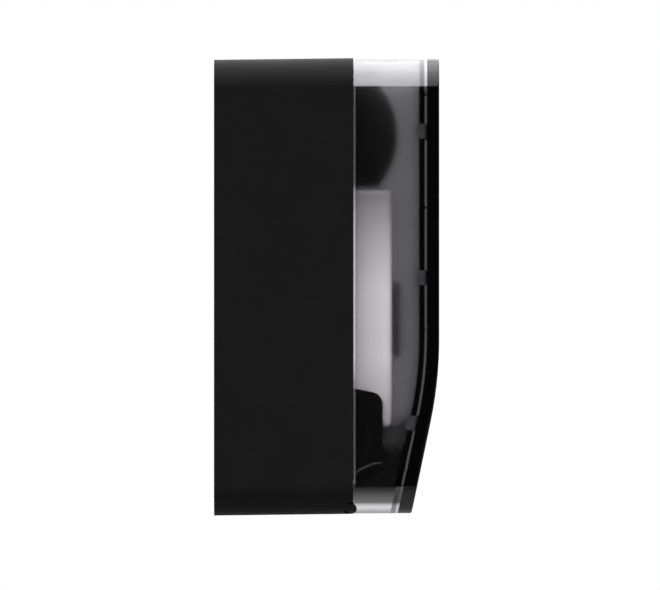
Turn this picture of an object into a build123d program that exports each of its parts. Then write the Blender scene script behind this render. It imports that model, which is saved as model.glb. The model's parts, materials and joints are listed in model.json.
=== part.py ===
from build123d import *
import os
from math import atan, cos, pi, radians, sin, sqrt, tan

# Wall mounted soap dispenser. Millimetres, +Z up, wall face on Y = 0, front towards -Y.
# The origin is the middle of the wall face.

# Driving dimensions of the outside
height = 290.0
width = 144.0
case_depth = 88.5
window_depth = 46.93
plate_thickness = 7.65
corner_radius = 17.5
front_rise = 1.08
case_wall = 2.5
shell_wall = 2.3
shell_front_wall = 1.6
parting_gap = 0.25
shell_inset = 0.25
shell_draft = 0.35
plate_lean = 11.8
plate_bend_radius = 255.0
plate_bend_height = 84.6
seat_lean = 12.2
seat_bend_height = 87.0
plate_edge_round = 1.3
plate_skin = 2.8
plate_rim = 14.0

# Fits
press_clearance = 0.02
running_clearance = 0.05
slide_clearance = 0.1
easy_clearance = 0.5

# Derived planes of the outside
half_height = height / 2
half_width = width / 2
bottom_front = front_rise - half_height
top_front = front_rise + half_height
parting = -case_depth
seat = parting - window_depth
face = seat - plate_thickness


def block(x, y, z):
    """A box from its three spans, each given as its two ends in any order."""
    size = [abs(span[1] - span[0]) for span in (x, y, z)]
    middle = [(span[0] + span[1]) / 2 for span in (x, y, z)]
    return Pos(*middle) * Box(*size)


def rod_x(y, z, radius, ends):
    return Pos((ends[0] + ends[1]) / 2, y, z) * Rot(0, 90, 0) * Cylinder(radius, abs(ends[1] - ends[0]))


def rod_y(x, z, radius, ends):
    return Pos(x, (ends[0] + ends[1]) / 2, z) * Rot(90, 0, 0) * Cylinder(radius, abs(ends[1] - ends[0]))


def rod_z(x, y, radius, ends):
    return Pos(x, y, (ends[0] + ends[1]) / 2) * Cylinder(radius, abs(ends[1] - ends[0]))


def front_view(y, middle_z):
    """A drawing plane square to Y, with its own x along X and y along Z."""
    return Plane(origin=(0, y, middle_z), x_dir=(1, 0, 0), z_dir=(0, -1, 0))


def case_form(inset, start, end):
    """The case outline drawn in by inset, carried from start to end along the rising case."""
    slope = front_rise / case_depth
    sketch = RectangleRounded(width - 2 * inset, height - 2 * inset, corner_radius - inset)
    drawn = front_view(start, -start * slope) * sketch
    return Solid.extrude(drawn.faces()[0], Vector(0, end - start, (start - end) * slope))


shell_rear = parting - parting_gap


def shell_form(inset):
    """The cover outline drawn in by inset, from its rear edge past the front, with its draft."""
    sections = []
    for y, draft in ((shell_rear, 0), (face, shell_draft)):
        drawn_in = 2 * (shell_inset + draft + inset)
        sketch = RectangleRounded(width - drawn_in, height - drawn_in, corner_radius - inset)
        sections.append(front_view(y, front_rise) * sketch)
    return loft(sections, ruled=True)


def front_form(front, lean, bend_height, radius):
    """Everything behind a front that stands upright, bends and then leans back below."""
    bend = radius * tan(radians(lean) / 2)
    corner = bottom_front + bend_height
    start = (front, corner + bend)
    end = (front + bend * sin(radians(lean)), corner - bend * cos(radians(lean)))
    foot = -height
    foot_front = end[0] + (end[1] - foot) * tan(radians(lean))
    upper = Polyline((0, height), (front, height), start)
    arc = TangentArc(start, end, tangent=(0, -1))
    lower = Polyline(end, (foot_front, foot), (0, foot), (0, height))
    return extrude(Plane.YZ * make_face(upper + arc + lower), amount=width, both=True)


def seat_form(depth):
    """Everything behind the faceplate's seat moved back by depth."""
    bend_height = seat_bend_height + depth * tan(radians(seat_lean) / 2)
    return front_form(seat + depth, seat_lean, bend_height, plate_bend_radius - plate_thickness - depth)


def seat_place(z):
    """A place on the seat at height z, whose own Y axis points back, square to the seat."""
    corner = bottom_front + seat_bend_height
    if z > corner:
        return Pos(0, seat, z)
    return Pos(0, seat + (corner - z) * tan(radians(seat_lean)), z) * Rot(seat_lean, 0, 0)


# Cover hinge along the bottom of the parting plane
hinge_radius = 3.05
hinge_lift = 0.22
hinge_setback = 1.3
hinge_cove_gap = 0.5
hinge_relief_gap = 1.35
hinge_rail_depth = 9.2
hinge_rail_top = 3.0
rail_sink = 0.2
hinge_ear_inner = 34.0
hinge_ear_width = 10.0
hinge_ear_side_gap = 0.6
hinge_ear_reach = 9.0
hinge_ear_radius = 2.9
hinge_ear_top = 1.8
hinge_ear_bottom = 1.9
hinge_pin_radius = 1.5
hinge_pin_bite = 4.0
hinge_web_inner = 50.0
hinge_web_width = 3.0
hinge_web_gap = 0.4
hinge_y = parting + hinge_setback
hinge_z = bottom_front + hinge_lift + hinge_radius
hinge_cove = hinge_radius + hinge_cove_gap
hinge_relief = hinge_radius + hinge_relief_gap
ear_ends = (hinge_ear_inner, hinge_ear_inner + hinge_ear_width)
pin_ends = (ear_ends[0] - hinge_pin_bite, ear_ends[1] + hinge_pin_bite)
web_ends = (hinge_web_inner, hinge_web_inner + hinge_web_width)
hinge_web = hinge_relief + hinge_web_gap
sides = (-1, 1)


def mirrored(ends, side):
    return (side * ends[0], side * ends[1])


# Wall screw holes, rear bosses
wall_hole_radius = 2.5
wall_hole_x = 50.0
wall_hole_z = 55.0
boss_height = 5.0
boss_radius = 4.5
foot_thickness = 3.0
screw_radius = 1.5
screw_head_radius = 3.0
screw_head_height = 2.0
screw_bite = 4.0
boss_front = -case_wall - boss_height
foot_front = boss_front - foot_thickness


def back_screw(x, z):
    """A screw from the front through a foot into a boss of the case's back wall."""
    shank = rod_y(x, z, screw_radius, (foot_front, boss_front + screw_bite))
    head = rod_y(x, z, screw_head_radius, (foot_front - screw_head_height, foot_front))
    return shank + head


def back_screw_hole(x, z):
    return rod_y(x, z, screw_radius + press_clearance, (foot_front, boss_front + screw_bite))


# Battery box at the top
box_half_width = 32.0
box_overhang = 28.3
box_setback = 40.0
box_top_gap = 16.2
box_height = 65.8
box_wall = 2.0
box_bulge_radius = 50.0
box_leg_thickness = 3.0
box_leg_inset = 2.0
box_foot_reach = 12.0
box_foot_screw_inset = 9.0
lid_split = 8.0
lid_gap = 0.2
box_front = parting - box_overhang
box_rear = parting + box_setback
box_top = top_front - box_top_gap
box_bottom = box_top - box_height
box_foot_half = box_half_width + box_foot_reach
box_screw_places = [
    (side * (box_foot_half - box_foot_screw_inset / 2), z)
    for side in sides
    for z in (box_bottom + box_foot_screw_inset, box_top - box_foot_screw_inset)
]

# Pump stack, built upwards from the chassis floor
floor_height = 9.9
floor_thickness = 3.0
pump_overhang = 9.5
nozzle_tip_lift = 4.0
nozzle_tip_length = 6.0
nozzle_tip_radius = 4.5
nozzle_neck_length = 5.0
nozzle_neck_radius = 7.0
nozzle_flange_thickness = 4.0
nozzle_flange_radius = 9.5
pump_stroke = 10.0
stroke_room = 1.0
cap_floor = 2.5
cap_radius = 17.0
cap_height = 12.0
cylinder_flange = 2.0
gasket_thickness = 1.5
neck_length = 6.5
neck_radius = 13.5
neck_wall = 2.5
cylinder_radius = 10.0
cylinder_bore = 8.5
cylinder_length = 53.0
cylinder_end = 2.0
floor_top = bottom_front + floor_height + floor_thickness
pump_y = parting - pump_overhang
nozzle_bottom = floor_top + nozzle_tip_lift
neck_bottom = nozzle_bottom + nozzle_tip_length
flange_bottom = neck_bottom + nozzle_neck_length
flange_top = flange_bottom + nozzle_flange_thickness
cap_bottom = flange_top + pump_stroke + stroke_room
cylinder_flange_bottom = cap_bottom + cap_floor
gasket_bottom = cylinder_flange_bottom + cylinder_flange
neck_end = gasket_bottom + gasket_thickness
bottle_bottom = neck_end + neck_length
cylinder_top = cap_bottom + cylinder_length

# Cartridge between the chassis shelf and the battery box
bottle_side_gap = 8.0
bottle_rear = -30.0
bottle_overhang = 24.5
bottle_head_gap = 2.0
bottle_round = 3.5
bottle_edge_round = 3.0
bottle_wall = 1.6
grip_half_width = 25.0
grip_thickness = 5.5
grip_height = 47.0
grip_drop = 59.0
grip_edge_round = 1.5
bottle_half_width = half_width - bottle_side_gap
bottle_front = parting - bottle_overhang
bottle_top = box_bottom - bottle_head_gap

# Pump chassis: back plate, floor, shelf and two cheeks
cheek_side_gap = 4.0
cheek_thickness = 2.5
cheek_overhang = 18.6
cheek_round = 8.0
cheek_rise = 25.6
cheek_top_fall = 4.8
cheek_shoulder = 5.0
cheek_arch_rear = 2.5
cheek_arch_foot = 10.0
cheek_arch_crown = 16.4
cheek_arch_tip = 21.0
shelf_thickness = 3.0
shelf_slot_gap = 1.0
floor_setback = 4.5
chassis_screw_rise = 6.0
guide_offset_y = 22.0
guide_offset_x = 16.0
guide_radius = 2.0
guide_socket = 2.0
cheek_outer = half_width - cheek_side_gap
cheek_inner = cheek_outer - cheek_thickness
cheek_front = parting - cheek_overhang
cheek_top = bottle_bottom + cheek_rise
floor_bottom = floor_top - floor_thickness
floor_front = parting + floor_setback
shelf_bottom = bottle_bottom - shelf_thickness
guide_y = pump_y + guide_offset_y

# Lift yoke, its rack and the gear train
pressure_angle = radians(25)
tooth_addendum = 0.8
tooth_dedendum = 1.1
tooth_backlash = 0.12
flank_steps = 3
yoke_thickness = 3.0
yoke_half_width = 21.5
yoke_front_reach = 11.5
yoke_slot_gap = 0.15
yoke_boss_radius = 4.5
yoke_boss_half = 5.0
rack_half_width = 4.0
rack_offset_y = 34.0
rack_back = 8.0
rack_lowest = 1.0
rack_length = 24.0
yoke_rear_clearance = 1.5
rack_module = 1.0
pinion_teeth = 12
first_module = 0.8
second_module = 0.6
wheel_teeth = 30
small_teeth = 10
output_lift = 18.0
first_angle = radians(45)
second_angle = radians(-45)
pinion_half = 4.5
first_wheel_ends = (6.5, 10.5)
first_pinion_start = 6.0
second_wheel_ends = (12.5, 15.5)
motor_pinion_ends = (12.0, 16.0)
left_plate_ends = (-12.0, -9.0)
right_plate_ends = (19.0, 22.0)
plate_front_reach = 8.0
plate_rear_reach = 13.0
plate_height = 38.5
plate_foot = 8.0
plate_foot_inset = 5.0
output_shaft_radius = 2.0
idler_shaft_radius = 1.5
motor_shaft_radius = 1.0
pillar_radius = 2.5
pillar_offsets = ((-2.0, 17.5), (28.0, 17.0), (18.0, -13.5))
motor_radius = 12.0
motor_side_gap = 22.0
motor_tail = 2.0
motor_tail_radius = 5.0
motor_shaft_bite = 3.0
motor_screw_offset = 8.0
motor_screw_radius = 1.0
motor_screw_head = 2.0
motor_screw_bite = 3.0
rack_line = pump_y + rack_offset_y
output_y = rack_line + rack_module * pinion_teeth / 2
output_z = floor_top + output_lift
first_distance = first_module * (wheel_teeth + small_teeth) / 2
idler_y = output_y + first_distance * cos(first_angle)
idler_z = output_z + first_distance * sin(first_angle)
second_distance = second_module * (wheel_teeth + small_teeth) / 2
motor_y = idler_y + second_distance * cos(second_angle)
motor_z = idler_z + second_distance * sin(second_angle)
motor_ends = (right_plate_ends[1], half_width - motor_side_gap)
plate_y = (output_y - plate_front_reach, motor_y + plate_rear_reach)


def involute(angle):
    return tan(angle) - angle


def gear(module, teeth, ends, y, z, phase):
    """A spur gear on an axis along X, with one tooth centred on the direction phase from +Y to +Z."""
    pitch = module * teeth / 2
    base = pitch * cos(pressure_angle)
    root = pitch - tooth_dedendum * module
    tip = pitch + tooth_addendum * module
    half_at_pitch = (pi / 2 - tooth_backlash) / teeth
    lowest = max(base, root)
    radii = [lowest + (tip - lowest) * step / flank_steps for step in range(flank_steps + 1)]

    def half_angle(radius):
        slope = sqrt(max(radius ** 2 - base ** 2, 0)) / base
        return half_at_pitch + involute(pressure_angle) - (slope - atan(slope))

    flank = [(radius, half_angle(radius)) for radius in radii]
    if root < base:
        flank.insert(0, (root, half_angle(base)))
    points = []
    for tooth in range(teeth):
        middle = phase + 2 * pi * tooth / teeth
        for radius, half in flank:
            points.append((y + radius * cos(middle - half), z + radius * sin(middle - half)))
        for radius, half in reversed(flank):
            points.append((y + radius * cos(middle + half), z + radius * sin(middle + half)))
    drawn = Plane.YZ.offset(ends[0]) * make_face(Polyline(*points, close=True))
    return extrude(drawn, amount=ends[1] - ends[0])


# Control board on the chassis back plate
board_inner = -14.0
board_side_gap = 10.0
board_height = 34.0
board_standoff = 4.0
board_thickness = 1.6
board_lift = 3.0
board_screw_inset = 4.0
board_post_radius = 3.0
board_screw_radius = 1.2
board_screw_head = 2.4
board_x = (board_side_gap - half_width, board_inner)
board_width = board_inner - board_x[0]
board_z = (floor_top + board_lift, floor_top + board_lift + board_height)
board_rear = foot_front - board_standoff
board_front = board_rear - board_thickness
board_screw_columns = (board_x[0] + board_screw_inset, board_x[1] - board_width / 2)
board_screw_places = [
    (x, z)
    for x in board_screw_columns
    for z in (board_z[0] + board_screw_inset, board_z[1] - board_screw_inset)
]
# The chassis screws stand midway between the board's screw posts
chassis_screw_x = sum(board_screw_columns) / 2
chassis_screw_places = [
    (side * chassis_screw_x, z)
    for side in (1, -1)
    for z in (floor_top + chassis_screw_rise, cheek_top - chassis_screw_rise)
]
connector_size = 8.0
connector_depth = 6.0
chip_size = 12.0
chip_depth = 1.8
capacitor_radius = 4.0
capacitor_length = 11.0
lead_radius = 1.5
lead_bend = 5.0
lead_turn = 6.0
lead_exit_lift = 8.0
lead_y = board_front - connector_depth / 2
lead_side_gap = 2.0
lead_x = board_inner - connector_size / 2 - lead_side_gap
clip_half = 4.0
clip_wall = 2.0
clip_heights = (20.0, -30.0)

# Sensor under the chassis floor
sensor_board_thickness = 1.6
sensor_half_width = 16.0
sensor_half_depth = 5.0
sensor_offset_y = 27.0
sensor_led_radius = 2.5
sensor_led_length = 5.5
sensor_led_offset = 8.0
sensor_window_margin = 2.0
sensor_y = pump_y + sensor_offset_y
sensor_board_bottom = floor_bottom - sensor_board_thickness

# Lock in the case top and the cover's catch
lock_setback = 12.5
lock_plug_radius = 6.0
lock_sleeve_radius = 9.0
lock_sink = 0.3
lock_sleeve_length = 9.6
lock_nut_radius = 12.5
lock_nut_gap = 0.3
lock_nut_height = 2.6
lock_cam_gap = 1.5
lock_cam_thickness = 2.5
lock_cam_half_width = 4.0
lock_cam_reach = 15.0
lock_cam_tail = 6.0
key_slot = (1.4, 7.0, 3.0)
cam_screw_head = 3.0
cam_screw_height = 1.6
catch_x = (10.2, 16.2)
catch_lip_gap = 0.5
catch_lip_thickness = 3.5
catch_stem_thickness = 3.0
catch_stem_gap = 0.9
catch_base = 12.0
catch_base_margin = 4.0
catch_base_start = 3.5
lock_y = parting + lock_setback
lock_top = half_height - front_rise * lock_y / case_depth - lock_sink
sleeve_bottom = lock_top - lock_sleeve_length
cam_top = sleeve_bottom - lock_cam_gap
cam_bottom = cam_top - lock_cam_thickness

# Cover inside
lug_drop = 46.7
lug_lift = 57.2
lug_size = 9.4
lug_width = 6.0
lug_depth = 7.0
lug_root = 1.0
lug_inset = 0.15
frame_thickness = 3.4
frame_gap = 0.2
frame_width = 14.0
frame_screw_drops = (22.0, 94.0)
frame_screw_lifts = (118.0, 28.0)
frame_screw_inset = 5.0
frame_screw_radius = 1.2
frame_screw_head = 2.4
frame_screw_head_height = 1.4
frame_screw_bite = 4.0
guard_screw_tip = 1.8
guard_side_gap = 11.0
guard_wall = 2.0
guard_bottom_lift = 16.0
guard_side_lift = 43.0
guard_rear_gap = 1.5
guard_side_front = 19.5
guard_curve_lift = 54.6
guard_curve_slope = 0.2
guard_front_lift = 64.1
guard_front = 37.0
guard_screw_lifts = (26.0, 40.0)
outlet_half_width = 22.0
outlet_rear_gap = 5.5
outlet_depth = 16.0
finger_groove = 1.9
finger_groove_half = 40.0
nodes = {}
# Rear case
case_body = case_form(0, 0, parting)
case_body -= case_form(case_wall, -case_wall, parting - case_wall)
case_skin = case_body
for x, z in box_screw_places + chassis_screw_places:
    case_body += rod_y(x, z, boss_radius, (-case_wall, boss_front))
    case_body -= back_screw_hole(x, z)
for x in (-wall_hole_x, wall_hole_x):
    for z in (-wall_hole_z, wall_hole_z):
        case_body -= rod_y(x, z, wall_hole_radius, (case_wall, -2 * case_wall))
case_body -= rod_x(hinge_y, hinge_z, hinge_relief, (-width, width))
rail_ends = (-half_width, half_width)
rail_bottom = bottom_front + case_wall - rail_sink
rail = rod_x(hinge_y, hinge_z, hinge_radius, rail_ends)
rail += block(rail_ends, (hinge_y, hinge_y + hinge_rail_depth), (rail_bottom, hinge_z + hinge_rail_top))
case_body += rail & case_form(0, 0, face)
for side in sides:
    pocket = (ear_ends[0] - hinge_ear_side_gap, ear_ends[1] + hinge_ear_side_gap)
    case_body -= rod_x(hinge_y, hinge_z, hinge_relief, mirrored(pocket, side))
    case_body -= rod_x(hinge_y, hinge_z, hinge_pin_radius + press_clearance, mirrored(pin_ends, side))
    case_body += rod_x(hinge_y, hinge_z, hinge_web, mirrored(web_ends, side)) & case_form(0, 0, parting)
sensor_opening = (sensor_half_width - sensor_window_margin, sensor_half_depth)


def sensor_slot(clearance):
    half_x = sensor_opening[0] - clearance
    half_y = sensor_opening[1] - clearance
    spans = ((-half_x, half_x), (sensor_y - half_y, sensor_y + half_y))
    return block(*spans, (-height, sensor_board_bottom - sensor_led_length))


case_body -= sensor_slot(0)
case_body -= rod_z(0, lock_y, lock_sleeve_radius + press_clearance, (sleeve_bottom, height))
nodes["rear_case"] = case_body
nodes["sensor_window"] = case_skin & sensor_slot(press_clearance)
nodes["hinge_pins"] = [rod_x(hinge_y, hinge_z, hinge_pin_radius, mirrored(pin_ends, side)) for side in sides]

# Cover: window shell, faceplate, inner frame
cover_half = half_width - shell_inset - shell_draft - shell_wall
frame_depth = shell_front_wall + frame_thickness
lug_heights = (
    top_front - lug_drop,
    (top_front - lug_drop + bottom_front + lug_lift) / 2,
    bottom_front + lug_lift,
)
frame_screw_heights = [top_front - drop for drop in frame_screw_drops]
frame_screw_heights += [bottom_front + lift for lift in frame_screw_lifts]
frame_screw_x = cover_half - frame_screw_inset
frame_recess = frame_depth - frame_screw_head_height
guard_half = half_width - guard_side_gap
guard_screw_x = guard_half - guard_wall - frame_screw_head


def lug(side, z, grown):
    """One lug of the faceplate, reaching back square to the seat; grown widens it into its slot."""
    outer = cover_half - lug_inset + grown
    inner = cover_half - lug_inset - lug_width - grown
    half = lug_size / 2 + grown
    return seat_place(z) * block((side * inner, side * outer), (-lug_root, lug_depth), (-half, half))


def seat_rod(x, z, radius, ends):
    """A rod square to the seat, from one depth behind it to another."""
    return seat_place(z) * rod_y(x, 0, radius, ends)


lug_places = [(side, z) for side in sides for z in lug_heights]
frame_screw_places = [(side * frame_screw_x, z) for side in sides for z in frame_screw_heights]
guard_screw_places = [
    (side * guard_screw_x, bottom_front + lift) for side in sides for lift in guard_screw_lifts
]

shell_body = shell_form(0) & seat_form(0)
shell_body -= shell_form(shell_wall) & seat_form(shell_front_wall)
shell_body -= rod_x(hinge_y, hinge_z, hinge_cove, (-width, width))
for side in sides:
    ear_x = mirrored(ear_ends, side)
    ear_z = (hinge_z - hinge_ear_bottom, hinge_z + hinge_ear_top)
    shell_body += rod_x(hinge_y, hinge_z, hinge_ear_radius, ear_x)
    shell_body += block(ear_x, (hinge_y, hinge_y - hinge_ear_reach), ear_z)
    shell_body -= rod_x(hinge_y, hinge_z, hinge_pin_radius + running_clearance, ear_x)
    web_room = (web_ends[0] - hinge_ear_side_gap, web_ends[1] + hinge_ear_side_gap)
    shell_body -= rod_x(hinge_y, hinge_z, hinge_web + hinge_cove_gap, mirrored(web_room, side))
for side, z in lug_places:
    shell_body -= lug(side, z, slide_clearance)
for x, z in frame_screw_places:
    shell_body -= seat_rod(x, z, frame_screw_radius + press_clearance, (-shell_front_wall, frame_depth))
outlet_y = (shell_rear - outlet_rear_gap, shell_rear - outlet_rear_gap - outlet_depth)
shell_body -= block((-outlet_half_width, outlet_half_width), outlet_y, (-height, hinge_z))
groove_x = (-finger_groove_half, finger_groove_half)
groove_z = (top_front - shell_inset - finger_groove, height)
shell_body -= block(groove_x, (shell_rear + parting_gap, shell_rear - finger_groove), groove_z)
nodes["window_shell"] = shell_body

plate = shell_form(0) & front_form(face, plate_lean, plate_bend_height, plate_bend_radius)
plate -= seat_form(0)
front_faces = [side for side in plate.faces() if side.normal_at().Y < -cos(radians(2 * plate_lean))]
front_edges = [edge for side in front_faces for edge in side.edges()]
rim = [edge for edge in front_edges if sum(edge.is_same(other) for other in front_edges) == 1]
plate = fillet(rim, plate_edge_round)
plate -= shell_form(plate_rim) & front_form(
    face + plate_skin, plate_lean, plate_bend_height, plate_bend_radius - plate_skin
)
for side, z in lug_places:
    plate += lug(side, z, 0)
for x, z in frame_screw_places:
    plate -= seat_rod(x, z, frame_screw_radius + press_clearance, (-frame_screw_bite, 0))
nodes["faceplate"] = plate

frame_inset = shell_wall + frame_gap
frame = shell_form(frame_inset) & seat_form(shell_front_wall)
frame -= seat_form(frame_depth)
frame -= shell_form(frame_inset + frame_width)
for side, z in lug_places:
    frame -= lug(side, z, slide_clearance)
for x, z in frame_screw_places:
    frame -= seat_rod(x, z, frame_screw_radius + press_clearance, (0, frame_depth))
    frame -= seat_rod(x, z, frame_screw_head + slide_clearance, (frame_recess, 2 * frame_depth))
for x, z in guard_screw_places:
    frame -= seat_rod(x, z, frame_screw_radius + press_clearance, (guard_screw_tip, frame_depth + guard_wall))
nodes["inner_frame"] = frame
nodes["frame_screws"] = [
    seat_rod(x, z, frame_screw_radius, (-frame_screw_bite, frame_recess))
    + seat_rod(x, z, frame_screw_head, (frame_recess, frame_recess + frame_screw_head_height))
    for x, z in frame_screw_places
]

# Guard round the nozzle, inside the lower front of the cover
guard_depth = frame_depth + guard_wall
guard_bottom = bottom_front + guard_bottom_lift
guard_rear = parting - guard_rear_gap
guard_points = [
    (guard_rear, bottom_front + guard_side_lift),
    (parting - guard_side_front, bottom_front + guard_side_lift),
    (parting - guard_side_front, bottom_front + guard_curve_lift),
]
guard_tip = (parting - guard_front, bottom_front + guard_front_lift)
guard_outline = Polyline((guard_rear, guard_bottom), *guard_points)
guard_outline += TangentArc(guard_points[-1], guard_tip, tangent=(-1, guard_curve_slope))
guard_outline += Polyline(guard_tip, (face, guard_tip[1]), (face, guard_bottom), (guard_rear, guard_bottom))
guard = extrude(Plane.YZ * make_face(guard_outline), amount=guard_half, both=True)
guard = guard & seat_form(frame_depth)
guard_hollow = block((guard_wall - guard_half, guard_half - guard_wall), (0, face), (-height, height))
guard -= guard_hollow & seat_form(guard_depth)
for x, z in guard_screw_places:
    guard -= seat_rod(x, z, frame_screw_radius + press_clearance, (frame_depth, guard_depth))
nodes["drip_guard"] = guard
nodes["guard_screws"] = [
    seat_rod(x, z, frame_screw_radius, (guard_screw_tip, guard_depth))
    + seat_rod(x, z, frame_screw_head, (guard_depth, guard_depth + frame_screw_head_height))
    for x, z in guard_screw_places
]

# Cover catch, and the lock it meets
nut_top = half_height - front_rise * lock_y / case_depth - case_wall - lock_nut_gap
nut_bottom = nut_top - lock_nut_height
stem_z = (nut_bottom - catch_stem_gap - catch_stem_thickness, nut_bottom - catch_stem_gap)
base_y = (shell_rear - catch_base_start, shell_rear - catch_base_start - catch_base)
base_x = (catch_x[0] - catch_base_margin, catch_x[1] + catch_base_margin)
lip_front = lock_y + lock_cam_half_width + catch_lip_gap
lip_y = (lip_front, lip_front + catch_lip_thickness)
catch = block(base_x, base_y, (stem_z[0], height)) & shell_form(shell_wall)
catch += block(catch_x, (base_y[1], lip_y[1]), stem_z)
catch += block(catch_x, lip_y, (cam_bottom - catch_lip_gap, stem_z[1]))
nodes["cover_catch"] = catch

sleeve = rod_z(0, lock_y, lock_sleeve_radius, (sleeve_bottom, lock_top))
sleeve -= rod_z(0, lock_y, lock_plug_radius + running_clearance, (sleeve_bottom, lock_top))
nodes["lock_sleeve"] = sleeve
nut = extrude(Pos(0, lock_y, nut_bottom) * RegularPolygon(lock_nut_radius, 6), amount=lock_nut_height)
nut -= rod_z(0, lock_y, lock_sleeve_radius + press_clearance, (nut_bottom, nut_top))
nodes["lock_nut"] = nut
plug = rod_z(0, lock_y, lock_plug_radius, (cam_top, lock_top))
plug -= block(
    (-key_slot[0] / 2, key_slot[0] / 2),
    (lock_y - key_slot[1] / 2, lock_y + key_slot[1] / 2),
    (lock_top - key_slot[2], lock_top),
)
plug -= rod_z(0, lock_y, screw_radius + press_clearance, (cam_top, cam_top + screw_bite))
nodes["lock_plug"] = plug
cam_x = (-lock_cam_half_width, lock_cam_half_width)
cam = block(cam_x, (lock_y - lock_cam_reach, lock_y + lock_cam_tail), (cam_bottom, cam_top))
cam -= rod_z(0, lock_y, screw_radius + press_clearance, (cam_bottom, cam_top))
nodes["lock_cam"] = cam
nodes["cam_screw"] = rod_z(0, lock_y, screw_radius, (cam_bottom, cam_top + screw_bite)) + rod_z(
    0, lock_y, cam_screw_head, (cam_bottom - cam_screw_height, cam_bottom)
)

# Battery box with its lid, cells and contacts
cell_radius = 13.1
cell_length = 48.5
cell_nub_radius = 3.75
cell_nub_height = 1.5
cell_spacing = 26.8
contact_thickness = 0.5
contact_spring_height = 3.0
contact_spring_radius = 5.0
contact_wire = 0.5
contact_turns = 2
contact_half = 12.0
contact_rib_half = 2.0


box_middle = (box_top + box_bottom) / 2


def box_form(inset):
    """The battery box outline from the side, drawn in by inset, with its front bulging."""
    rear = box_rear - inset
    bottom = box_bottom + inset
    top = box_top - inset
    radius = box_bulge_radius - inset
    shoulder = box_front + box_bulge_radius - sqrt(radius**2 - (top - box_middle) ** 2)
    bulge = ThreePointArc((shoulder, top), (box_front + inset, box_middle), (shoulder, bottom))
    sides_and_rear = Polyline((shoulder, bottom), (rear, bottom), (rear, top), (shoulder, top))
    return extrude(Plane.YZ * make_face(bulge + sides_and_rear), amount=box_half_width - inset, both=True)


cell_bottom = box_bottom + box_wall + contact_thickness + contact_spring_height
cell_top = cell_bottom + cell_length + cell_nub_height
contact_top = cell_top + contact_thickness
cell_rear_y = box_rear - box_wall - easy_clearance - cell_radius
cell_rows = (cell_rear_y, cell_rear_y - 2 * cell_radius)
cell_columns = (-cell_spacing / 2, cell_spacing / 2)
cell_places = [(x, y) for x in cell_columns for y in cell_rows]
box_whole = box_form(0) - box_form(box_wall)
rib_front = cell_rows[1] - cell_radius
for x in cell_columns:
    rib_x = (x - contact_rib_half, x + contact_rib_half)
    rib_top = box_top - box_wall
    box_whole += block(rib_x, (box_rear, rib_front), (contact_top, rib_top))
lid_plane = parting - lid_split
everywhere = (-height, height)
battery_box = box_whole & block(everywhere, (0, lid_plane), everywhere)
for side in sides:
    leg_outer = box_half_width - box_leg_inset
    leg_x = mirrored((leg_outer - box_leg_thickness, leg_outer), side)
    battery_box += block(leg_x, (boss_front, box_rear - box_wall / 2), (box_bottom, box_top))
    foot_x = mirrored((leg_outer - box_leg_thickness, box_foot_half), side)
    battery_box += block(foot_x, (boss_front, foot_front), (box_bottom, box_top))
for x, z in box_screw_places:
    battery_box -= back_screw_hole(x, z)
nodes["battery_box"] = battery_box
nodes["battery_lid"] = box_whole & block(everywhere, (lid_plane - lid_gap, face), everywhere)
nodes["box_screws"] = [back_screw(x, z) for x, z in box_screw_places]
nodes["battery_cells"] = [
    rod_z(x, y, cell_radius, (cell_bottom, cell_bottom + cell_length))
    + rod_z(x, y, cell_nub_radius, (cell_bottom + cell_length, cell_top))
    for x, y in cell_places
]
contacts = []
for x in cell_columns:
    span = (x - contact_half / 2, x + contact_half / 2)
    reach = (cell_rows[0] + contact_half / 2, cell_rows[1] - contact_half / 2)
    contacts.append(block(span, reach, (cell_top, contact_top)))
    contacts.append(block(span, reach, (box_bottom + box_wall, box_bottom + box_wall + contact_thickness)))
nodes["battery_contacts"] = contacts


def coil(x, y, radius, wire, ends, turns):
    """A coil spring about a line along Z, its wire's middle line one wire radius inside its two ends."""
    rise = abs(ends[1] - ends[0]) - 2 * wire
    line = Pos(x, y, min(ends) + wire) * Helix(rise / turns, rise, radius)
    section = Plane(origin=line @ 0, z_dir=line % 0) * Circle(wire)
    return sweep(section, path=line, is_frenet=True)


spring_ends = (cell_bottom - contact_spring_height, cell_bottom)
nodes["battery_springs"] = [
    coil(x, y, contact_spring_radius, contact_wire, spring_ends, contact_turns) for x, y in cell_places
]

# Cartridge: bottle, cap, gasket and pull grip
bottle_y = (bottle_front + bottle_rear) / 2
bottle_depth = bottle_rear - bottle_front


def bottle_form(inset):
    """The bottle's rounded body drawn in by inset."""
    outline = RectangleRounded(
        2 * (bottle_half_width - inset), bottle_depth - 2 * inset, bottle_round - inset
    )
    rise = bottle_top - bottle_bottom - 2 * inset
    body = extrude(Pos(0, bottle_y, bottle_bottom + inset) * outline, amount=rise)
    ends = body.faces().sort_by(Axis.Z)
    return fillet(ends[0].edges() + ends[-1].edges(), bottle_edge_round - inset)


bottle = bottle_form(0) + rod_z(0, pump_y, neck_radius, (neck_end, bottle_bottom + bottle_wall))
bottle -= bottle_form(bottle_wall)
bottle -= rod_z(0, pump_y, neck_radius - neck_wall, (neck_end, bottle_bottom + bottle_edge_round))
nodes["cartridge_bottle"] = bottle
grip_z = (bottle_top - grip_drop - grip_height, bottle_top - grip_drop)
grip = block((-grip_half_width, grip_half_width), (bottle_front, bottle_front - grip_thickness), grip_z)
grip_edges = grip.faces().sort_by(Axis.Y)[0].edges()
nodes["cartridge_grip"] = fillet(grip_edges, grip_edge_round)
cap = rod_z(0, pump_y, cap_radius, (cap_bottom, cap_bottom + cap_height))
cap -= rod_z(0, pump_y, neck_radius + press_clearance, (cylinder_flange_bottom, cap_bottom + cap_height))
cap -= rod_z(0, pump_y, cylinder_radius + press_clearance, (cap_bottom, cylinder_flange_bottom))
nodes["cartridge_cap"] = cap
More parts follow.
